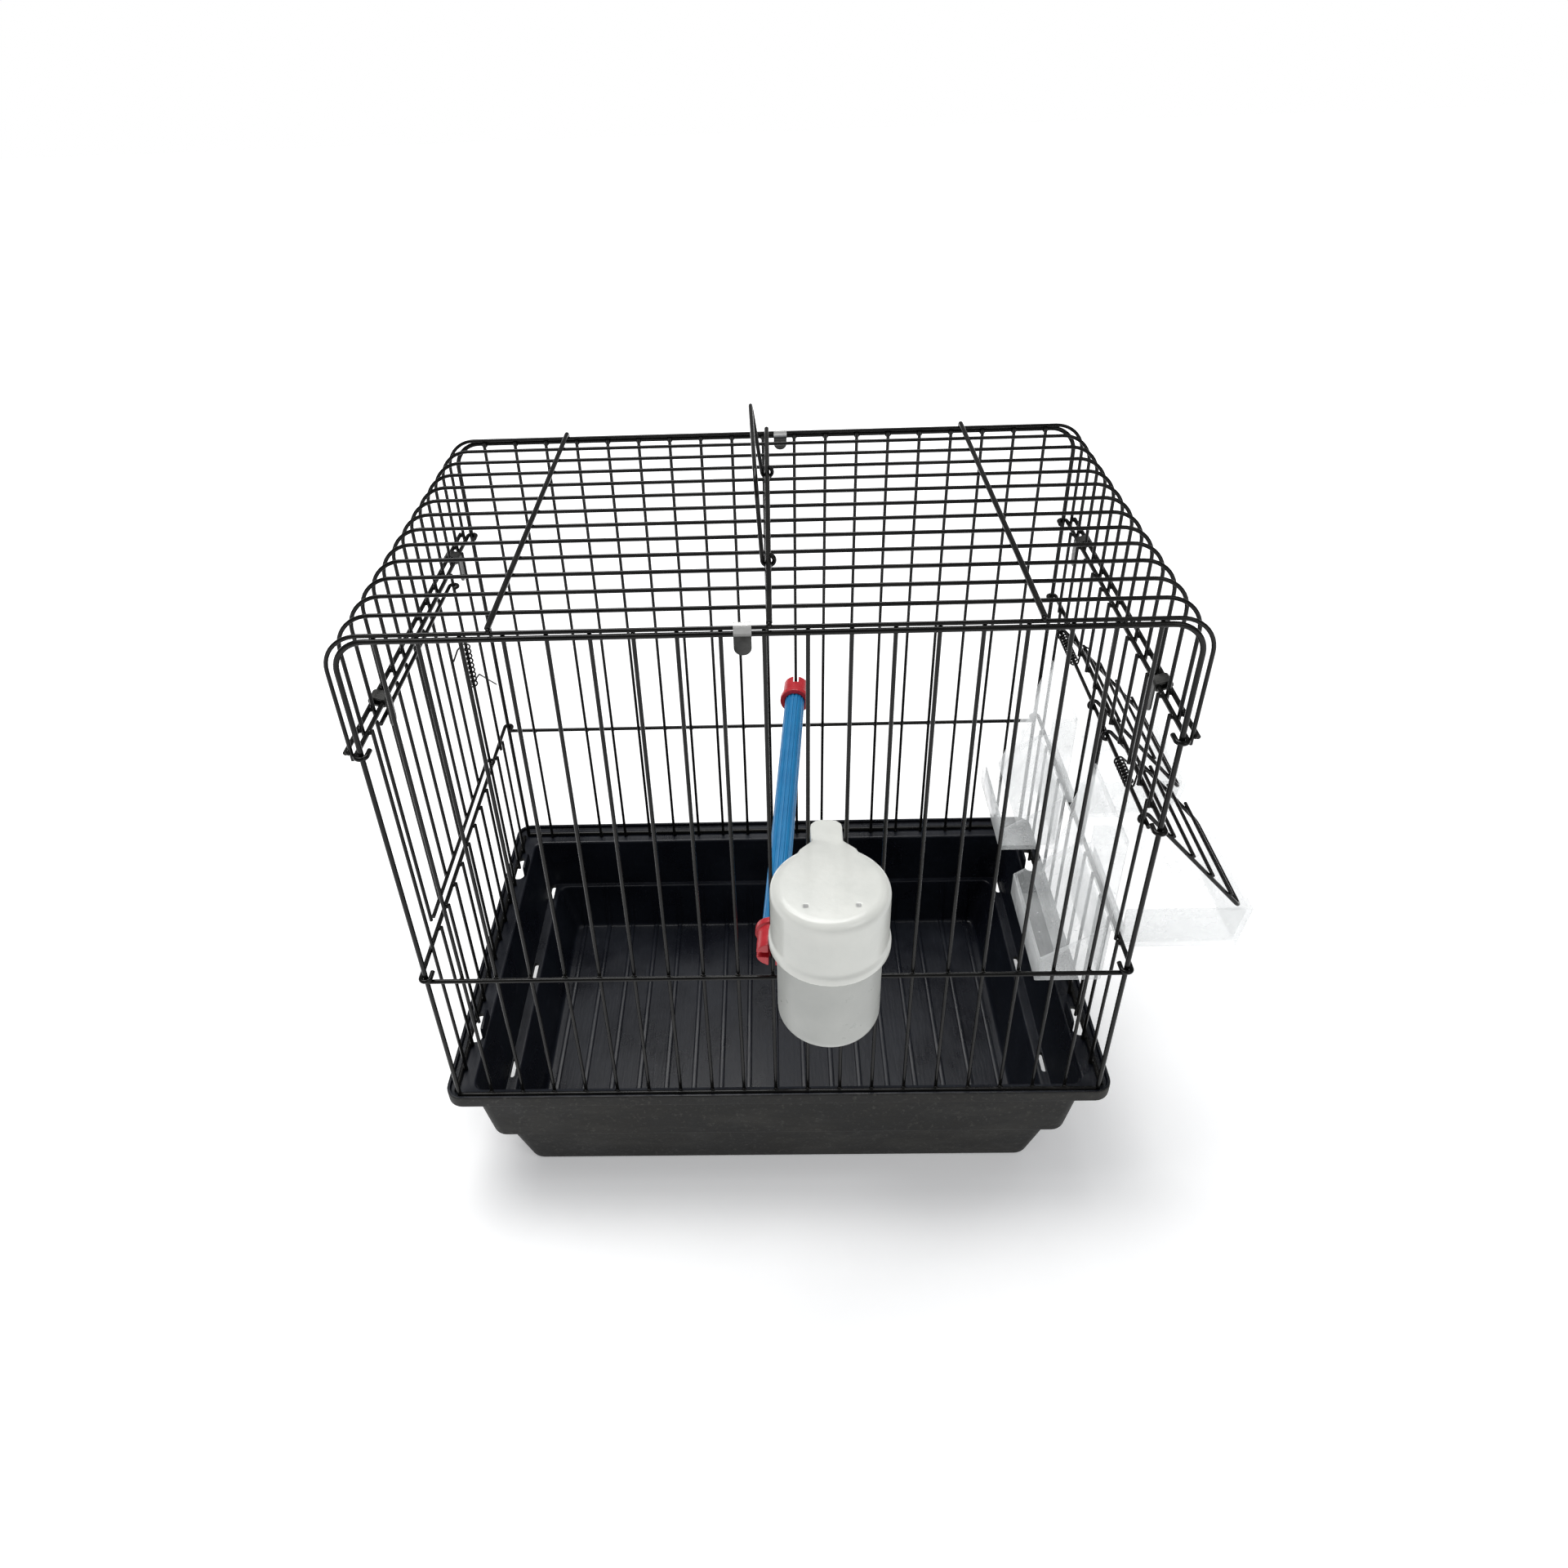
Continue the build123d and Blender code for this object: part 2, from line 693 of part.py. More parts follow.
def strap_clip(profile_plane, outer_wire, inner_wire, radius, tongue_side, tongue, width):
    """A sheet strap round two wires, with a rounded tongue that hangs down."""
    span = Vector(*inner_wire) - Vector(*outer_wire)
    bore = radius + strap_slack
    face = bore + strap
    tip_x = outer_wire[0] + tongue_side * (bore + strap / 2)
    turned = Vector(1, 0).get_signed_angle(span, Vector(0, 0, 1))
    with BuildPart() as clip:
        with BuildSketch(profile_plane.offset(-width / 2)):
            with Locations(Location((Vector(*outer_wire) + Vector(*inner_wire)) * 0.5)):
                SlotCenterToCenter(span.length, 2 * face, rotation=turned)
            with Locations((tip_x, outer_wire[1] - tongue / 2)):
                Rectangle(strap, tongue)
            with Locations(Location((Vector(*outer_wire) + Vector(*inner_wire)) * 0.5)):
                SlotCenterToCenter(span.length, 2 * bore, rotation=turned, mode=Mode.SUBTRACT)
        extrude(amount=width)
        tip = clip.faces().sort_by(Axis.Z)[0]
        corners = tip.edges().sort_by(SortBy.LENGTH)[:2]
        fillet(corners, width / 2 - strap_slack)
    return clip


def centre_clips():
    """Two straps that tie the roof to the front and the back."""
    clips = []
    for side, x in ((-1, front_clip_x), (1, back_clip_x)):
        roof_wire = (side * side_ys[-1], roof_z)
        panel_wire = (side * frame_y, top_z)
        plane = Plane.YZ.offset(x)
        clips.append(
            strap_clip(plane, panel_wire, roof_wire, frame_r, side, centre_clip_tongue, centre_clip_width)
        )
    with BuildPart() as pair:
        for clip in clips:
            add(clip.part)
    return pair


def side_clips():
    """Four straps that tie the roof's rails to the side panels."""
    clips = []
    for side in (-1, 1):
        for y in side_clip_y:
            side_wire = (side * rail_x, side_top_z)
            roof_wire = (side * roof_rail_x, roof_rail_z)
            plane = Plane.XZ.offset(-y)
            clips.append(
                strap_clip(plane, side_wire, roof_wire, rail_r, -side, side_clip_tongue, side_clip_width)
            )
    with BuildPart() as four:
        for clip in clips:
            add(clip.part)
    return four


def drinker_cap():
    """The drinker's cap, with a spout that enters between two bars."""
    base = tray_height + cap_base
    top = tray_height + cap_top
    lip_top = base + lip_height
    inner_r = cap_r - cap_wall
    ceiling = top - cap_wall
    section = Plane((drinker_x, drinker_y, 0), x_dir=(1, 0, 0), z_dir=(0, -1, 0))
    axis = Axis((drinker_x, drinker_y, 0), (0, 0, 1))
    spout_width = front_pitch - 2 * bar_r - 2 * spout_clear
    spout_tip = -front_bar_y + spout_reach
    near = -front_bar_y - bar_r - lip_clear
    half = spout_width / 2
    wide = half + spout_flare
    flare = [
        (drinker_x - half, near),
        (drinker_x - wide, near - spout_flare),
        (drinker_x - wide, drinker_y),
        (drinker_x + wide, drinker_y),
        (drinker_x + wide, near - spout_flare),
        (drinker_x + half, near),
    ]
    with BuildPart() as cap:
        with BuildSketch(section):
            with BuildLine():
                Polyline((0, base), (lip_r, base), (lip_r, lip_top), (cap_r, lip_top + cap_wall))
                skirt = Line((cap_r, lip_top + cap_wall), (cap_r, top - cap_round))
                edge = JernArc(skirt @ 1, (0, 1), cap_round, 90)
                Polyline(edge @ 1, (0, top), (0, base))
            make_face()
        revolve(axis=axis)
        with BuildSketch(Plane.XY.offset(top - spout_height)) as plan:
            with Locations((drinker_x, (drinker_y + spout_tip) / 2)):
                Rectangle(spout_width, spout_tip - drinker_y)
            fillet(plan.vertices().sort_by(Axis.Y)[-2:], spout_round)
            Polygon(*flare, align=None)
        extrude(amount=spout_height)
        with BuildSketch(Plane.XY.offset(base)):
            with Locations((drinker_x, drinker_y)):
                Circle(inner_r)
        extrude(amount=ceiling - base, mode=Mode.SUBTRACT)
        channel_end = spout_tip - cap_wall
        with BuildSketch(Plane.XY.offset(ceiling)):
            with Locations((drinker_x, (drinker_y + channel_end) / 2)):
                Rectangle(spout_width - 2 * cap_wall, channel_end - drinker_y)
        extrude(amount=2 * cap_wall - spout_height, mode=Mode.SUBTRACT)
        with BuildSketch(Plane.XY.offset(ceiling)):
            with Locations((drinker_x, channel_end)):
                Rectangle(spout_width - 2 * cap_wall, 4 * cap_wall)
        extrude(amount=-spout_mouth, mode=Mode.SUBTRACT)
        with BuildSketch(Plane.XY.offset(top)):
            with Locations((drinker_x, drinker_y - pin_front)):
                with GridLocations(pin_spacing, 0, 2, 1):
                    Rectangle(pin_size, pin_size)
        extrude(amount=-pin_depth, mode=Mode.SUBTRACT)
    return cap


def drinker_cup():
    """The drinker's translucent cup, open at the top."""
    with BuildPart() as cup:
        with BuildSketch(Plane.XY.offset(tray_height + cup_bottom)):
            with Locations((drinker_x, drinker_y)):
                Circle(cup_r)
        extrude(amount=cup_top - cup_bottom)
        fillet(cup.faces().sort_by(Axis.Z)[0].edges(), cup_round)
        offset(amount=-cup_wall, openings=cup.faces().sort_by(Axis.Z)[-1])
    return cup


def perch_ends():
    """Where the perch's axis meets a front bar and a back bar."""
    front = Vector(perch_front_count * front_pitch, -front_bar_y, tray_height + perch_front_height)
    back = Vector(perch_back_count * front_pitch, front_bar_y, tray_height + perch_back_height)
    return front, back


def perch_cap(bar, inward):
    """An end cap: a barrel with crossed slots for a bar, a bore and a flange."""
    place = Plane(bar, x_dir=inward.cross(Vector(0, 0, -1)), z_dir=inward)
    with BuildPart() as cap:
        with BuildSketch(place.offset(-fork_out)):
            Circle(perch_barrel_r)
        extrude(amount=fork_out + perch_barrel)
        with BuildSketch(place.offset(-fork_out)):
            Rectangle(fork_slot, 4 * perch_barrel_r)
            Rectangle(4 * perch_barrel_r, fork_slot)
        extrude(amount=fork_out + fork_slot / 2, mode=Mode.SUBTRACT)
        with BuildSketch(place.offset(perch_barrel)):
            Circle(perch_cap_r)
        extrude(amount=perch_cap_rim)
        with BuildSketch(place.offset(perch_seat)):
            Circle(perch_r + perch_fit)
        extrude(amount=perch_barrel + perch_cap_rim - perch_seat, mode=Mode.SUBTRACT)
    return cap


def perch_rod():
    """The fluted perch between its two end caps."""
    front, back = perch_ends()
    inward = (back - front).normalized()
    reach = perch_seat + perch_fit
    length = (back - front).length - 2 * reach
    with BuildPart() as rod:
        with BuildSketch(Plane(front + inward * reach, z_dir=inward)):
            Circle(perch_r)
            with PolarLocations(perch_r, perch_flutes):
                Circle(flute_r, mode=Mode.SUBTRACT)
        extrude(amount=length)
    return rod


front_end, back_end = perch_ends()
perch_way = (back_end - front_end).normalized()
foot_z = seat_z - rail_r + bar_r
front_full_bar = side_ys[1]
left_lower_ys = [y for i, y in enumerate(side_ys[1:-1], 1) if i not in (1, hinge_count)]

pieces = {
    "tray": tray(),
    "front_panel": end_panel(-1),
    "back_panel": end_panel(1),
    "left_panel": side_panel(
        -1,
        (side_mid_z, side_top_z),
        (
            (left_lower_ys, foot_z, side_mid_z),
            ((front_full_bar, hinge_y), foot_z, side_top_z),
            ((spare_bar_y,), side_mid_z, side_top_z),
        ),
    ),
    "right_panel": side_panel(
        1,
        (side_mid_z, feeder_rail_z, side_top_z),
        (
            (side_ys[1:-1], foot_z, side_mid_z),
            (side_ys[1:-1], feeder_rail_z, side_top_z),
            (post_ys, side_mid_z, feeder_rail_z),
        ),
    ),
    "roof_panel": roof_panel(),
    "left_door": left_door(),
    "left_door_spring": left_door_spring(),
    "flap_rod": flap_rod(),
    "front_flap": flap(front_flap_middle, front_flap_width),
    "rear_flap": flap(rear_flap_middle, rear_flap_width),
    "front_flap_spring": flap_spring(front_spring_y, front_spring_turns, front_spring_pitch),
    "rear_flap_spring": flap_spring(rear_spring_y, rear_spring_turns, rear_spring_pitch),
    "front_feeder_tray": feeder_tray(front_flap_middle),
    "front_feeder_hood": feeder_hood(front_flap_middle),
    "rear_feeder_tray": feeder_tray(rear_flap_middle + rear_feeder_shift),
    "rear_feeder_hood": feeder_hood(rear_flap_middle + rear_feeder_shift),
    "handle_bail": handle_bail(),
    "centre_clips": centre_clips(),
    "side_clips": side_clips(),
    "drinker_cap": drinker_cap(),
    "drinker_cup": drinker_cup(),
    "perch_rod": perch_rod(),
    "perch_cap_front": perch_cap(front_end, perch_way),
    "perch_cap_rear": perch_cap(back_end, perch_way * -1),
}

for name, piece in pieces.items():
    piece.part.label = name
    export_step(piece.part, f"parts/{name}.step")
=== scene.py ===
import json
from math import cos, pi, radians, sin
from random import Random

import bmesh
import bpy
from mathutils import Matrix, Vector


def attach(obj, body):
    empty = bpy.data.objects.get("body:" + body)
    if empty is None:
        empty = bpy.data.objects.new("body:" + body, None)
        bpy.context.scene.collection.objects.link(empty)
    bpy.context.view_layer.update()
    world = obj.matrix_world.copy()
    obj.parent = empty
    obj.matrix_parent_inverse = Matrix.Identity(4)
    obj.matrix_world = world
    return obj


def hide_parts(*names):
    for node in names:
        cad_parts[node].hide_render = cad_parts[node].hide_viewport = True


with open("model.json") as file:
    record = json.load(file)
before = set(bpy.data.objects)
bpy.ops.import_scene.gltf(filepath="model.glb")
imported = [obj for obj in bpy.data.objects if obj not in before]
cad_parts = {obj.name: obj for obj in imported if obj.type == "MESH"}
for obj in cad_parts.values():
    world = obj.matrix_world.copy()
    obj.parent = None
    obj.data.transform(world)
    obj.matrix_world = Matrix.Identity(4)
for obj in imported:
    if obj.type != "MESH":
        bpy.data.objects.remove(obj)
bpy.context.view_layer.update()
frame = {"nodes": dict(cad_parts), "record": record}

MM = 0.001


# Finishes
class Finish:
    """A node material, put together from small steps."""

    def __init__(self, name):
        self.material = bpy.data.materials.new(name)
        self.material.use_nodes = True
        self.tree = self.material.node_tree
        self.shader = self.tree.nodes["Principled BSDF"]
        self.place = self.node("ShaderNodeTexCoord").outputs["Object"]
        self.normal = None

    def plug(self, socket, value):
        """Links a node's output to a socket, or sets the socket to a constant."""
        if isinstance(value, bpy.types.NodeSocket):
            self.tree.links.new(value, socket)
        else:
            socket.default_value = value

    def node(self, kind, inputs=(), **settings):
        made = self.tree.nodes.new(kind)
        for key, value in settings.items():
            setattr(made, key, value)
        for key, value in dict(inputs).items():
            self.plug(made.inputs[key], value)
        return made

    def stretched(self, scale):
        return self.node("ShaderNodeMapping", {"Vector": self.place, "Scale": scale}).outputs["Vector"]

    def noise(self, scale, detail=3.0, rough=0.55, at=None):
        spots = {"Vector": at or self.place, "Scale": scale, "Detail": detail, "Roughness": rough}
        return self.node("ShaderNodeTexNoise", spots).outputs["Fac"]

    def span(self, value, low, high, to_low=0.0, to_high=1.0):
        """Maps low..high onto to_low..to_high, and holds the ends."""
        ends = {"Value": value, "From Min": low, "From Max": high, "To Min": to_low, "To Max": to_high}
        return self.node("ShaderNodeMapRange", ends).outputs["Result"]

    def mix(self, share, first, second):
        factor, a, b = 0, 6, 7
        inputs = {factor: share, a: first, b: second}
        return self.node("ShaderNodeMix", inputs, data_type="RGBA").outputs[2]

    def facing(self, blend):
        """Grows from 0 where a surface faces the ray to 1 at its outline."""
        return self.node("ShaderNodeLayerWeight", {"Blend": blend}).outputs["Facing"]

    def math(self, operation, first, second):
        return self.node("ShaderNodeMath", {0: first, 1: second}, operation=operation).outputs[0]

    def bump(self, height, distance, strength=1.0):
        inputs = {"Height": height, "Distance": distance, "Strength": strength}
        if self.normal is not None:
            inputs["Normal"] = self.normal
        self.normal = self.node("ShaderNodeBump", inputs).outputs["Normal"]

    def done(self, **values):
        """Plugs the values in; an underscore in a key stands for a space."""
        for key, value in values.items():
            self.plug(self.shader.inputs[key.replace("_", " ")], value)
        if self.normal is not None:
            self.plug(self.shader.inputs["Normal"], self.normal)
        return self.material


def rgb(r, g, b):
    return (r, g, b, 1.0)


def painted_wire(name, dark, worn, gloss):
    """Dipped black paint: wet gloss, an uneven skin, and a few dusty rubbed places."""
    f = Finish(name)
    dust = rgb(0.05, 0.048, 0.042)
    cloud = f.noise(45, 4)
    fleck = f.span(f.noise(700, 2), 0.72, 0.8, 0.0, 0.4)
    tint = f.mix(f.span(cloud, 0.45, 0.75), dark, worn)
    tint = f.mix(fleck, tint, dust)
    rough = f.span(f.noise(260, 3), 0.3, 0.7, gloss, gloss + 0.16)
    f.bump(f.noise(420, 2), 0.00012, 0.4)
    f.bump(f.noise(120, 2), 0.0003, 0.3)
    return f.done(
        Base_Color=tint, Roughness=rough, Specular_IOR_Level=0.14, Coat_Weight=0.14, Coat_Roughness=0.06
    )


def tray_outside():
    """Dark moulded plastic with a fine spark grain and smudged, rubbed places."""
    f = Finish("tray_outside")
    dark, rubbed = rgb(0.005, 0.005, 0.0045), rgb(0.02, 0.019, 0.017)
    smudge, spark = rgb(0.045, 0.043, 0.037), rgb(0.06, 0.058, 0.051)
    grain = f.noise(480, 3, 0.7)
    cloud = f.noise(38, 6, 0.7)
    smear = f.noise(16, 5, 0.65, f.stretched((1.0, 1.0, 3.0)))
    tint = f.mix(f.span(cloud, 0.4, 0.68), dark, rubbed)
    tint = f.mix(f.span(smear, 0.5, 0.72, 0.0, 0.5), tint, smudge)
    tint = f.mix(f.span(grain, 0.57, 0.7, 0.0, 0.6), tint, spark)
    f.bump(grain, 0.0002, 0.6)
    rough = f.span(cloud, 0.3, 0.7, 0.5, 0.75)
    return f.done(Base_Color=tint, Roughness=rough, Specular_IOR_Level=0.3)


def tray_inside():
    """Smoother blue-black plastic with long fine scratches and dull patches."""
    f = Finish("tray_inside")
    dark, dull = rgb(0.0045, 0.0052, 0.0082), rgb(0.0105, 0.0125, 0.018)
    scraped, crumb = rgb(0.035, 0.04, 0.05), rgb(0.09, 0.09, 0.085)
    cloud = f.noise(22, 5, 0.6)
    scratch = f.noise(40, 3, 0.6, f.stretched((18.0, 1.4, 6.0)))
    speck = f.span(f.noise(520, 2), 0.73, 0.78, 0.0, 0.5)
    tint = f.mix(f.span(cloud, 0.35, 0.7), dark, dull)
    tint = f.mix(f.span(scratch, 0.62, 0.76, 0.0, 0.3), tint, scraped)
    tint = f.mix(speck, tint, crumb)
    rough = f.span(cloud, 0.3, 0.7, 0.2, 0.42)
    f.bump(f.noise(700, 2), 0.00006, 0.35)
    f.bump(scratch, 0.0004, 0.25)
    return f.done(Base_Color=tint, Roughness=rough, Specular_IOR_Level=0.24)


def moulded(name, low, high, gloss):
    """Plain moulded plastic: slight flow clouds, faint ripples and a soft gloss."""
    f = Finish(name)
    tint = f.mix(f.span(f.noise(60, 4), 0.3, 0.7), low, high)
    rough = f.span(f.noise(240, 3), 0.3, 0.7, gloss, gloss + 0.12)
    f.bump(f.noise(420, 3), 0.00012, 0.35)
    return f.done(Base_Color=tint, Roughness=rough)


def frosted():
    """Milky see-through plastic of the drinker's cup."""
    f = Finish("frosted_cup")
    low, high = rgb(0.46, 0.47, 0.445), rgb(0.53, 0.54, 0.51)
    tint = f.mix(f.span(f.noise(50, 4), 0.3, 0.7), low, high)
    f.bump(f.noise(380, 3), 0.00012, 0.4)
    rough = f.span(f.noise(160, 3), 0.3, 0.7, 0.26, 0.4)
    cover = f.span(f.facing(0.35), 0.0, 1.0, 0.82, 0.97)
    return f.done(Base_Color=tint, Roughness=rough, Alpha=cover)


def clear(name, veil, edges):
    """Clear moulded plastic: pale edges, flow ripples and tiny scuffs."""
    f = Finish(name)
    bright, grey = rgb(0.93, 0.945, 0.94), rgb(0.84, 0.86, 0.855)
    scuff = f.noise(300, 4)
    flow = f.span(f.noise(30, 4), 0.35, 0.7, 0.7, 1.3)
    haze = f.math("MULTIPLY", flow, f.span(f.facing(0.5), 0.35, 0.95, veil, edges))
    haze = f.math("ADD", haze, f.span(scuff, 0.62, 0.75, 0.0, 0.2))
    f.bump(f.noise(70, 3), 0.0008, 0.3)
    tint = f.mix(f.span(f.noise(40, 3), 0.3, 0.7), bright, grey)
    return f.done(Base_Color=tint, Roughness=f.span(scuff, 0.4, 0.75, 0.05, 0.25), Alpha=haze)


def zinc():
    """Plated sheet: a painted highlight on the top where it folds over the roof's wires; its own dull,
    stained colour below.
    """
    f = Finish("clip_zinc")
    # bright holds the colour of the painted highlight; dull and stained are the sheet's own colours
    bright, dull, stained = rgb(0.72, 0.72, 0.7), rgb(0.045, 0.045, 0.043), rgb(0.016, 0.016, 0.015)
    highlight_from, highlight_to = 0.3166, 0.3178
    grain = f.noise(700, 3, 0.6, f.stretched((1.0, 1.0, 8.0)))
    height = f.node("ShaderNodeSeparateXYZ", {"Vector": f.place}).outputs["Z"]
    below = f.mix(f.span(f.noise(160, 4), 0.4, 0.7), dull, stained)
    # Above the fold's height the clip gets the painted highlight; below it keeps its own dull, stained
    # colour
    tint = f.mix(f.span(height, highlight_from, highlight_to, 0.0, 0.85), below, bright)
    f.bump(grain, 0.00008, 0.5)
    rough = f.span(grain, 0.3, 0.7, 0.3, 0.48)
    return f.done(Base_Color=tint, Roughness=rough, Metallic=0.6)


wire_paint = painted_wire("wire_paint", rgb(0.004, 0.004, 0.0038), rgb(0.012, 0.0115, 0.0105), 0.14)
spring_paint = painted_wire("spring_paint", rgb(0.005, 0.005, 0.0048), rgb(0.014, 0.013, 0.012), 0.2)
tray_out = tray_outside()
tray_in = tray_inside()
cap_white = moulded("cap_white", rgb(0.63, 0.64, 0.6), rgb(0.69, 0.695, 0.65), 0.14)
perch_blue = moulded("perch_blue", rgb(0.004, 0.15, 0.35), rgb(0.006, 0.185, 0.41), 0.36)
perch_red = moulded("perch_red", rgb(0.41, 0.012, 0.02), rgb(0.49, 0.018, 0.028), 0.3)
cup_milky = frosted()
trough_clear = clear("trough_clear", 0.2, 0.75)
hood_clear = clear("hood_clear", 0.1, 0.6)
pin_grey = moulded("pin_grey", rgb(0.3, 0.3, 0.29), rgb(0.4, 0.4, 0.39), 0.4)
clip_zinc = zinc()

finishes = {
    "black_wire": wire_paint,
    "spring_steel": spring_paint,
    "tray_plastic": tray_out,
    "clip_steel": clip_zinc,
    "clear_plastic": trough_clear,
    "white_plastic": cap_white,
    "frosted_plastic": cup_milky,
    "blue_plastic": perch_blue,
    "red_plastic": perch_red,
}
for part in frame["record"]["subparts"]:
    node = frame["nodes"][part["node"]]
    node.data.materials.clear()
    node.data.materials.append(finishes[part["material_slot"]])


# Mesh helpers, with sizes in millimetres
def piece(name, mesh, body, materials, sharp=35):
    """Puts a finished bmesh into the scene as a piece that rides on a body.

    Edges that turn by more than sharp degrees stay crisp.
    """
    bmesh.ops.scale(mesh, vec=(MM, MM, MM), verts=mesh.verts)
    bmesh.ops.recalc_face_normals(mesh, faces=mesh.faces)
    data = bpy.data.meshes.new(name)
    mesh.to_mesh(data)
    mesh.free()
    for material in materials:
        data.materials.append(material)
    made = bpy.data.objects.new(name, data)
    bpy.context.scene.collection.objects.link(made)
    data.shade_smooth()
    data.set_sharp_from_angle(angle=radians(sharp))
    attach(made, body)
    return made


def apply(made, kind, **settings):
    """Applies one modifier to a piece straight away."""
    modifier = made.modifiers.new(kind, kind)
    for key, value in settings.items():
        setattr(modifier, key, value)
    with bpy.context.temp_override(object=made, active_object=made, selected_objects=[made]):
        bpy.ops.object.modifier_apply(modifier=modifier.name)


def eased(knots, steps=4):
    """Turns corner knots (values, reach) into a path with rounded corners."""
    path = []
    for i, (spot, reach) in enumerate(knots):
        spot = Vector(spot)
        if not reach or i in (0, len(knots) - 1):
            path.append(spot)
            continue
        before = Vector(knots[i - 1][0]) - spot
        after = Vector(knots[i + 1][0]) - spot
        start = spot + before.normalized() * min(reach, before.length * 0.49)
        end = spot + after.normalized() * min(reach, after.length * 0.49)
        for k in range(steps + 1):
            t = k / steps
            path.append(start * (1 - t) ** 2 + spot * (2 * t * (1 - t)) + end * t * t)
    return path


def rounded_ring(half_x, low_y, high_y, corner, z, arc=7):
    """Points of a level rounded rectangle."""
    points = []
    for cx, cy, turn in ((1, 1, 0), (-1, 1, 1), (-1, -1, 2), (1, -1, 3)):
        x = cx * (half_x - corner)
        y = high_y - corner if cy > 0 else low_y + corner
        for k in range(arc + 1):
            a = (turn + k / arc) * pi / 2
            points.append((x + corner * cos(a), y + corner * sin(a), z))
    return points


def loft(mesh, rings):
    """Joins closed rings of points with quads, caps both ends, and returns the rings' vertices."""
    rows = [[mesh.verts.new(p) for p in ring] for ring in rings]
    for a, b in zip(rows, rows[1:]):
        count = len(a)
        for k in range(count):
            mesh.faces.new((a[k], a[(k + 1) % count], b[(k + 1) % count], b[k]))
    mesh.faces.new(rows[0])
    mesh.faces.new(rows[-1])
    return rows


def from_cad(name, source, body, material, flat=0.0):
    """A free copy of a CAD node's shape that stands for it, to be rounded off.

    Faces that turn by less than flat degrees are joined into one.
    """
    mesh = bmesh.new()
    mesh.from_mesh(frame["nodes"][source].data)
    bmesh.ops.remove_doubles(mesh, verts=mesh.verts, dist=0.000002)
    if flat:
        bmesh.ops.dissolve_limit(mesh, angle_limit=radians(flat), verts=mesh.verts, edges=mesh.edges)
    for face in mesh.faces:
        face.material_index = 0
    bmesh.ops.scale(mesh, vec=(1 / MM, 1 / MM, 1 / MM), verts=mesh.verts)
    made = piece(name, mesh, body, [material])
    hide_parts(source)
    return made


def softened(made, voxel, rounds):
    """Rounds off every edge the way thick mouldings are."""
    apply(made, "REMESH", mode="VOXEL", voxel_size=voxel * MM)
    apply(made, "SMOOTH", factor=0.5, iterations=rounds)
    made.data.shade_smooth()


def bevelled(made, width, limit=30):
    """Gives a piece's sharp edges a small round."""
    apply(made, "BEVEL", width=width * MM, segments=3, limit_method="ANGLE", angle_limit=radians(limit))
    made.data.shade_smooth()
    made.data.set_sharp_from_angle(angle=radians(35))


# Tray
SIDES = (-1, 1)
FLANGE_SLOT_X = 150
FLANGE_SLOT_YS = (-53, 64)
FLANGE_SLOT = {"width": 6.5, "length": 18, "low": 60, "high": 72}
LEDGE_SLOT_X = 137.25
LEDGE_SLOT_YS = (-52, 14, 78)
LEDGE_SLOT = {"width": 2.5, "length": 12, "low": 27, "high": 36}
RIDGE_PITCH = 15
CRISP = 32


def tray_piece():
    """The tray's skin, from the middle of its underside round the rim to the well's floor."""
    # Each knot is half the width, front, back, corner radius and height, with its own rounding
    section = [
        ((122, -78.5, 75.5, 4, 0), 0),
        ((127, -83.5, 80.5, 6.8, 0), 3.5),
        ((135.5, -87.5, 84.5, 7, 30.5), 1.5),
        ((141, -90.5, 87.5, 7, 30.5), 1.4),
        ((146.5, -91.5, 88.5, 7, 63.65), 1.5),
        ((155.3, -94.7, 99.3, 6.6, 63.65), 0.6),
        ((155.3, -94.7, 99.3, 6.6, 61.5), 0.25),
        ((157, -96.4, 101, 8, 61.5), 0.7),
        ((157, -96.4, 101, 8, 68), 0.8),
        ((155.6, -95, 99.6, 6.6, 68), 0.4),
        ((155.6, -95, 99.6, 6.6, 65.65), 0.7),
        ((144.5, -89.5, 86.5, 5, 65.65), 1.6),
        ((139, -88.5, 85.5, 5, 32.5), 0.5),
        ((133.5, -85.5, 82.5, 5, 32.5), 1.2),
        ((125.5, -82, 79, 5, 2), 2.5),
        ((119, -75.5, 72.5, 3, 2), 0),
    ]
    mesh = bmesh.new()
    path = eased(section)
    rows = loft(mesh, [rounded_ring(*values) for values in path])
    top = max(range(len(path)), key=lambda k: (round(path[k][4], 2), path[k][0]))
    bmesh.ops.recalc_face_normals(mesh, faces=mesh.faces)
    inner = {v for row in rows[top:] for v in row}
    for face in mesh.faces:
        if all(v in inner for v in face.verts):
            face.material_index = 1
    made = piece("tray_moulding", mesh, "tray", [tray_out, tray_in], CRISP)

    cutter = bmesh.new()
    for side in SIDES:
        for y in FLANGE_SLOT_YS:
            slot_cutter(cutter, side * FLANGE_SLOT_X, y, **FLANGE_SLOT)
        for y in LEDGE_SLOT_YS:
            slot_cutter(cutter, side * LEDGE_SLOT_X, y, **LEDGE_SLOT)
    bmesh.ops.scale(cutter, vec=(MM, MM, MM), verts=cutter.verts)
    bmesh.ops.recalc_face_normals(cutter, faces=cutter.faces)
    data = bpy.data.meshes.new("slots")
    cutter.to_mesh(data)
    cutter.free()
    tool = bpy.data.objects.new("slots", data)
    bpy.context.scene.collection.objects.link(tool)
    apply(made, "BOOLEAN", operation="DIFFERENCE", solver="EXACT", object=tool)
    bpy.data.objects.remove(tool)
    made.data.shade_smooth()
    made.data.set_sharp_from_angle(angle=radians(CRISP))
    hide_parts("tray")


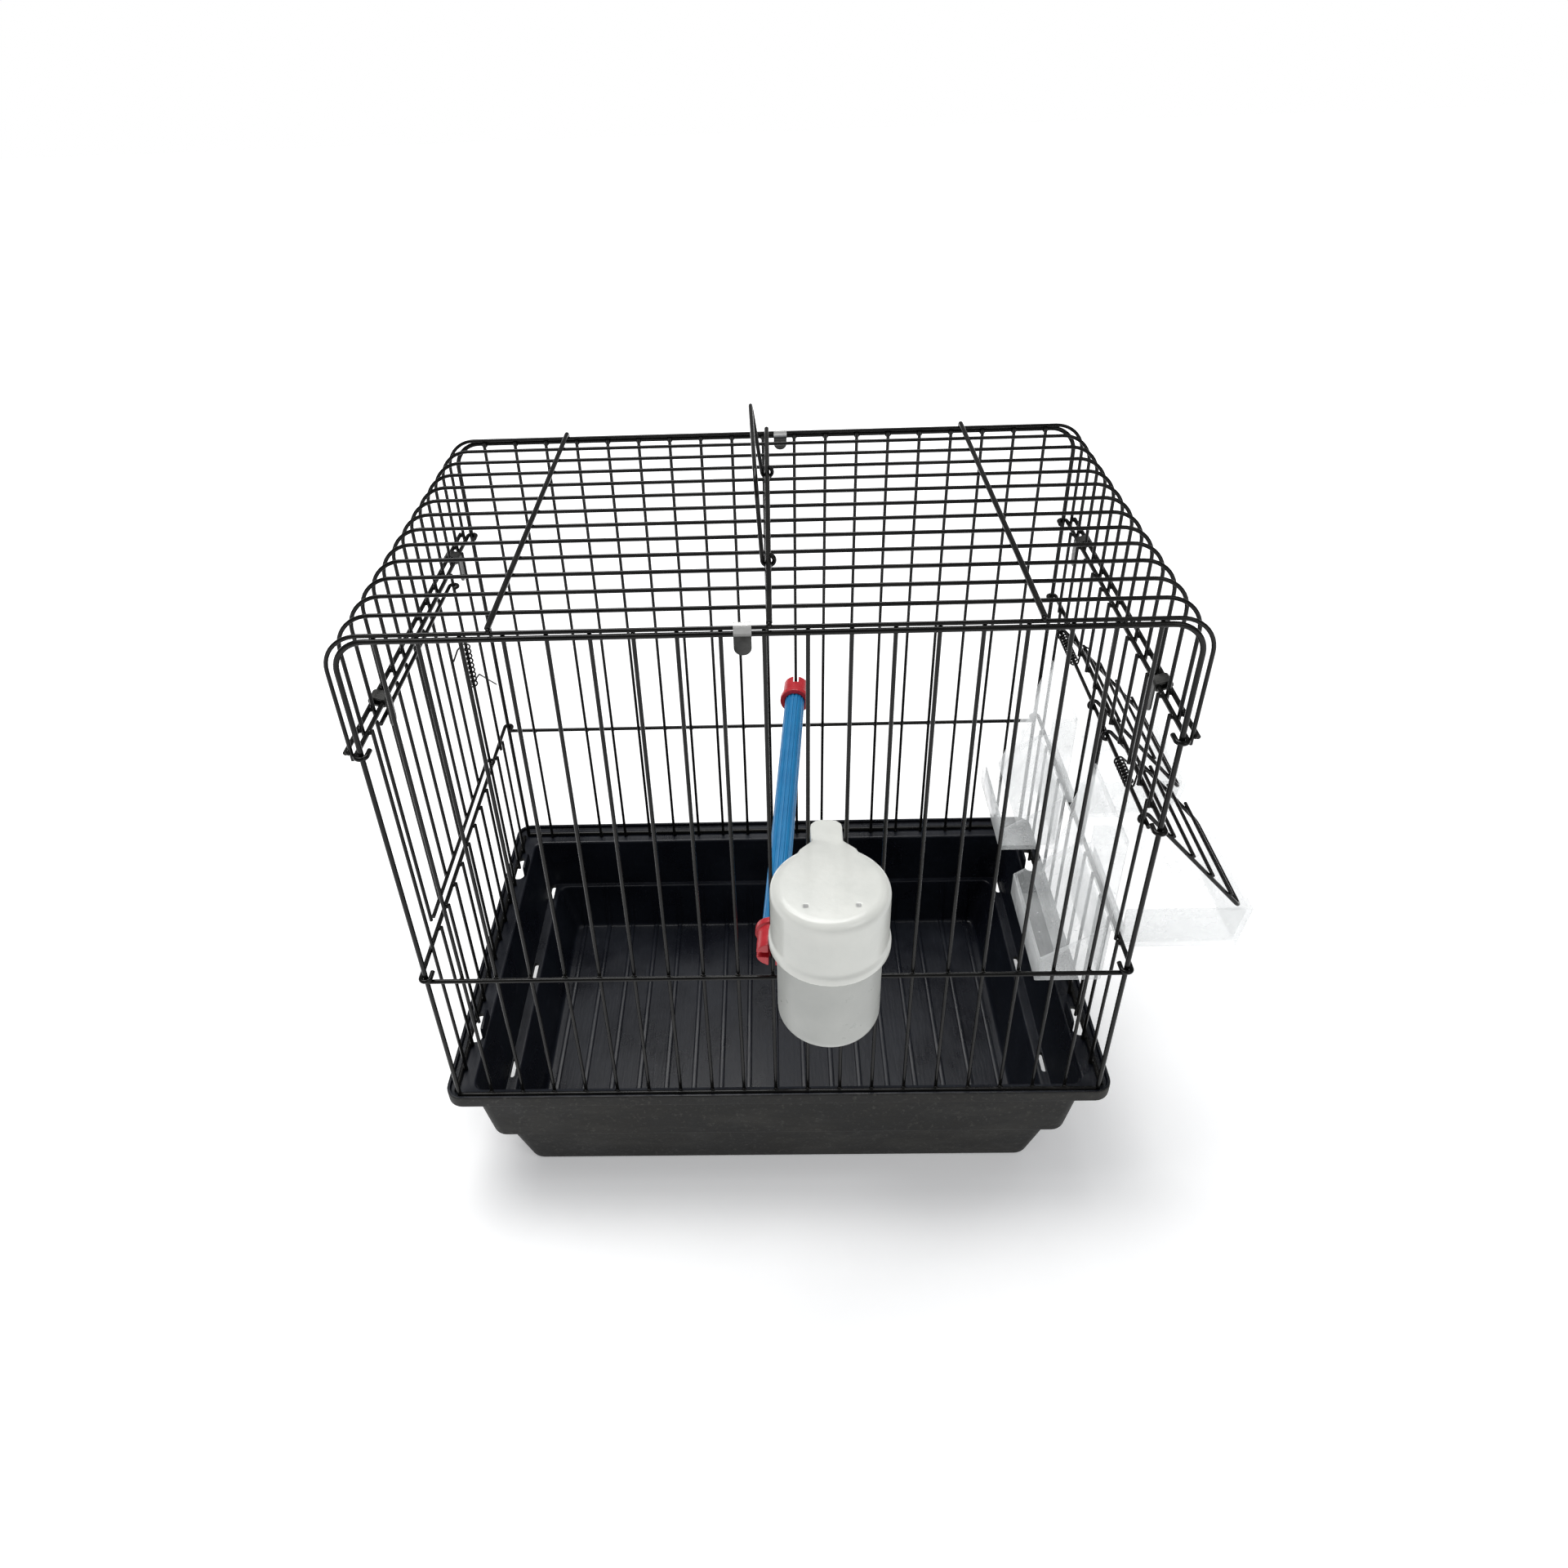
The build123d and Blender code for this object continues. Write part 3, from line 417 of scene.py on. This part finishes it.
def slot_cutter(mesh, x, y, width, length, low, high):
    """An upright round-ended bar, longer along Y."""
    count = 16
    half = width / 2
    reach = length / 2 - half
    ring = []
    for k in range(count):
        a = 2 * pi * (k + 0.5) / count
        ring.append((x + half * cos(a), y + half * sin(a) + (reach if sin(a) > 0 else -reach)))
    loft(mesh, [[(px, py, z) for px, py in ring] for z in (low, high)])


def tray_details():
    """Ridges along the floor and up its back wall, and the tabs beside the flange slots."""
    mesh = bmesh.new()
    floor = 1.9
    front_tip, front_end, back_end, wall_foot, wall_top = -78.4, -77, 75.6, 79.15, (82.3, 31.4)
    foot_bend = 3.2
    path = eased([
        ((front_tip, floor), 0), ((back_end, floor), 0), ((wall_foot, floor), foot_bend), (wall_top, 0),
    ], 6)
    path.insert(1, Vector((front_end, floor)))
    ridge = ((-1.5, 0), (-1.35, 0.7), (-0.9, 1.05), (0.9, 1.05), (1.35, 0.7), (1.5, 0))
    for i in range(-8, 9):
        x = RIDGE_PITCH * i
        rings = []
        for k, spot in enumerate(path):
            ahead = path[min(k + 1, len(path) - 1)] - path[max(k - 1, 0)]
            across = Vector((-ahead.y, ahead.x)).normalized()
            lift = 0.1 if k in (0, len(path) - 1) else 1.0
            rings.append([
                (x + dx, spot.x + across.x * rise * lift, spot.y + across.y * rise * lift)
                for dx, rise in ridge
            ])
        loft(mesh, rings)

    # A tab's outline in Y and Z, and slices across it that shrink towards its faces
    tab_x, foot = 146.05, 64
    outline = (
        (-6.5, 64), (-6.5, 70.9), (-6.1, 72.2), (-4.9, 72.65),
        (4.9, 72.65), (6.1, 72.2), (6.5, 70.9), (6.5, 64),
    )
    slices = ((-0.7, 0.96), (-0.55, 1), (0.55, 1), (0.7, 0.96))
    for side in SIDES:
        x = side * tab_x
        for y in FLANGE_SLOT_YS:
            loft(mesh, [
                [(x + dx, y + py * share, foot + (pz - foot) * share) for py, pz in outline]
                for dx, share in slices
            ])
    piece("tray_ridges", mesh, "tray", [tray_in], 40)


# Welds, where the bars of the cage cross its rails
BAR_XS = [15 * i for i in range(-9, 10)]
SIDE_YS = [14.23 * (i - 6.5) for i in range(14)]
DOOR_BARS = (1, 10)
CORNER_X, CORNER_Y = 149.6, 93.4
FRONT_Y = 92.5
FRONT_TOP_Y, FRONT_TOP_Z = 92.4, 316.2
SIDE_X = 151.3
BOTTOM_Z = 67.2
FRONT_MIDDLE_Z = 145.5
SIDE_MIDDLE_Z = 148
FEEDER_RAIL_Z = 225
SIDE_TOP_Z = 268
ROOF_LEG_X, ROOF_LEG_Z = 154.8, 269.2
STIFFENER_XS = (-94.5, 1.8, 94.5)
STIFFENER_Z = 319.5
WELD_SIZE = 1.15
WELD_STRETCH = {"x": (1.25, 0.8, 0.95), "y": (0.8, 1.25, 0.95), "z": (0.9, 0.9, 1.2)}
chance = Random(11)


def bead(mesh, x, y, z, along):
    """A small uneven blob of weld metal under the paint, longer along one axis."""
    stretch = WELD_STRETCH[along]
    reach = WELD_SIZE * chance.uniform(0.9, 1.15)
    turn = chance.uniform(0, pi)
    rings = []
    for tilt in (-0.42, -0.25, 0.0, 0.25, 0.42):
        height = z + reach * sin(pi * tilt) * stretch[2]
        ring = []
        for k in range(8):
            a = turn + 2 * pi * k / 8
            r = reach * cos(pi * tilt) * chance.uniform(0.94, 1.06)
            ring.append((x + r * cos(a) * stretch[0], y + r * sin(a) * stretch[1], height))
        rings.append(ring)
    loft(mesh, rings)


def welds():
    mesh = bmesh.new()
    for side in SIDES:
        right = side > 0
        for x in BAR_XS:
            bead(mesh, x, side * FRONT_Y, BOTTOM_Z, "x")
            bead(mesh, x, side * FRONT_Y, FRONT_MIDDLE_Z, "x")
            bead(mesh, x, side * FRONT_TOP_Y, FRONT_TOP_Z, "x")
        for z in (BOTTOM_Z, FRONT_MIDDLE_Z):
            for end in SIDES:
                bead(mesh, side * CORNER_X, end * CORNER_Y, z, "z")
        for i, y in enumerate(SIDE_YS):
            bead(mesh, side * ROOF_LEG_X, y, ROOF_LEG_Z, "y")
            if right:
                for x in STIFFENER_XS:
                    bead(mesh, x, y, STIFFENER_Z, "y")
            if i in (0, len(SIDE_YS) - 1):
                continue
            bead(mesh, side * SIDE_X, y, BOTTOM_Z, "y")
            if right or i not in DOOR_BARS:
                bead(mesh, side * SIDE_X, y, SIDE_MIDDLE_Z, "y")
            if right:
                bead(mesh, SIDE_X, y, FEEDER_RAIL_Z, "y")
            if right or i in DOOR_BARS:
                bead(mesh, side * SIDE_X, y, SIDE_TOP_Z, "y")
    piece("cage_welds", mesh, "cage", [wire_paint], 60)


# Moulded pieces
def drinker():
    """The cap and the cup, and two marks of the mould's pins on the cap."""
    cap = from_cad("drinker_cap_soft", "drinker_cap", "drinker", cap_white)
    softened(cap, voxel=0.5, rounds=4)
    cup = from_cad("drinker_cup_soft", "drinker_cup", "drinker_cup", cup_milky)
    softened(cup, voxel=0.5, rounds=3)
    mesh = bmesh.new()
    pin_xs, pin_y = (12.9, 32.1), -127.9
    corners = ((-1, -1), (1, -1), (1, 1), (-1, 1))
    # Half the width of a pin's mark at each height, with a dished top
    levels = ((1.1, 221.2), (1.1, 221.75), (0.9, 221.95), (0.35, 221.8))
    for x in pin_xs:
        loft(mesh, [[(x + half * dx, pin_y + half * dy, z) for dx, dy in corners] for half, z in levels])
    piece("cap_pins", mesh, "drinker", [pin_grey], 30)


def perch_ends():
    for where in ("front", "rear"):
        cap = from_cad("perch_end_" + where, "perch_cap_" + where, "perch", perch_red)
        softened(cap, voxel=0.3, rounds=3)


def feeders():
    for where in ("front", "rear"):
        for part, finish in (("tray", trough_clear), ("hood", hood_clear)):
            source = where + "_feeder_" + part
            made = from_cad(source + "_clear", source, "cage", finish, flat=1.0)
            bevelled(made, width=0.5)


tray_piece()
tray_details()
welds()
drinker()
perch_ends()
feeders()


# Floor, light and camera, in metres
def backdrop():
    """A pale floor that keeps the shadow and fades to white further out."""
    mesh = bmesh.new()
    bmesh.ops.create_grid(mesh, x_segments=2, y_segments=2, size=4)
    data = bpy.data.meshes.new("floor")
    mesh.to_mesh(data)
    mesh.free()
    floor = bpy.data.objects.new("floor", data)
    floor.location = (0, 0, -0.0004)
    bpy.context.scene.collection.objects.link(floor)
    f = Finish("floor_white")
    tint = f.mix(f.span(f.noise(3, 3), 0.3, 0.7), rgb(0.86, 0.86, 0.855), rgb(0.88, 0.88, 0.875))
    away = f.node("ShaderNodeVectorMath", {0: f.place}, operation="LENGTH").outputs["Value"]
    glow = f.span(away, 0.15, 0.9, 0.25, 0.8)
    f.done(
        Base_Color=tint, Roughness=0.75, Specular_IOR_Level=0.1,
        Emission_Color=rgb(1, 1, 1), Emission_Strength=glow,
    )
    data.materials.append(f.material)


def sky():
    """White to the camera and through clear plastic, soft light, and dim in gloss."""
    world = bpy.data.worlds.new("studio")
    bpy.context.scene.world = world
    world.use_nodes = True
    tree = world.node_tree
    rays = tree.nodes.new("ShaderNodeLightPath")
    background = tree.nodes["Background"]
    background.inputs["Color"].default_value = rgb(0.93, 0.95, 1.0)
    background.inputs["Strength"].default_value = 0.35
    last = background.outputs[0]
    for name, power in (("Is Glossy Ray", 0.2), ("Is Transmission Ray", 1.0), ("Is Camera Ray", 1.0)):
        light = tree.nodes.new("ShaderNodeBackground")
        light.inputs["Color"].default_value = rgb(1, 1, 1)
        light.inputs["Strength"].default_value = power
        both = tree.nodes.new("ShaderNodeMixShader")
        tree.links.new(rays.outputs[name], both.inputs[0])
        tree.links.new(last, both.inputs[1])
        tree.links.new(light.outputs[0], both.inputs[2])
        last = both.outputs[0]
    tree.links.new(last, tree.nodes["World Output"].inputs["Surface"])


def lamp(name, place, target, size, power):
    data = bpy.data.lights.new(name, "AREA")
    data.shape = "RECTANGLE"
    data.size, data.size_y = size
    data.energy = power
    made = bpy.data.objects.new(name, data)
    made.location = place
    made.rotation_euler = (Vector(target) - Vector(place)).to_track_quat("-Z", "Y").to_euler()
    bpy.context.scene.collection.objects.link(made)


def camera():
    """The photograph's camera, fitted to the cage's grid of bars."""
    place = (0.0032, -0.4124, 0.50456)
    pitch, yaw, roll = 0.6019, -0.0346, -0.0398
    ahead = Vector((sin(yaw) * cos(pitch), cos(yaw) * cos(pitch), -sin(pitch)))
    right = Vector((cos(yaw), -sin(yaw), 0))
    up = right.cross(ahead)
    rolled = right * cos(roll) + up * sin(roll)
    raised = up * cos(roll) - right * sin(roll)
    data = bpy.data.cameras.new("camera")
    data.sensor_width = 36
    data.lens = 24.91
    data.shift_x = 0.02545
    data.shift_y = -0.0474
    data.clip_start = 0.01
    made = bpy.data.objects.new("camera", data)
    made.matrix_world = Matrix((
        (rolled.x, raised.x, -ahead.x, place[0]),
        (rolled.y, raised.y, -ahead.y, place[1]),
        (rolled.z, raised.z, -ahead.z, place[2]),
        (0, 0, 0, 1),
    ))
    bpy.context.scene.collection.objects.link(made)
    bpy.context.scene.camera = made


backdrop()
sky()
lamp("ceiling", (-0.25, 0.35, 1.5), (0, 0, 0.1), (1.3, 0.9), 24)
lamp("window", (0.9, -0.9, 1.1), (0, 0, 0.15), (0.7, 0.7), 3)
camera()
bpy.context.scene.view_settings.view_transform = "Standard"
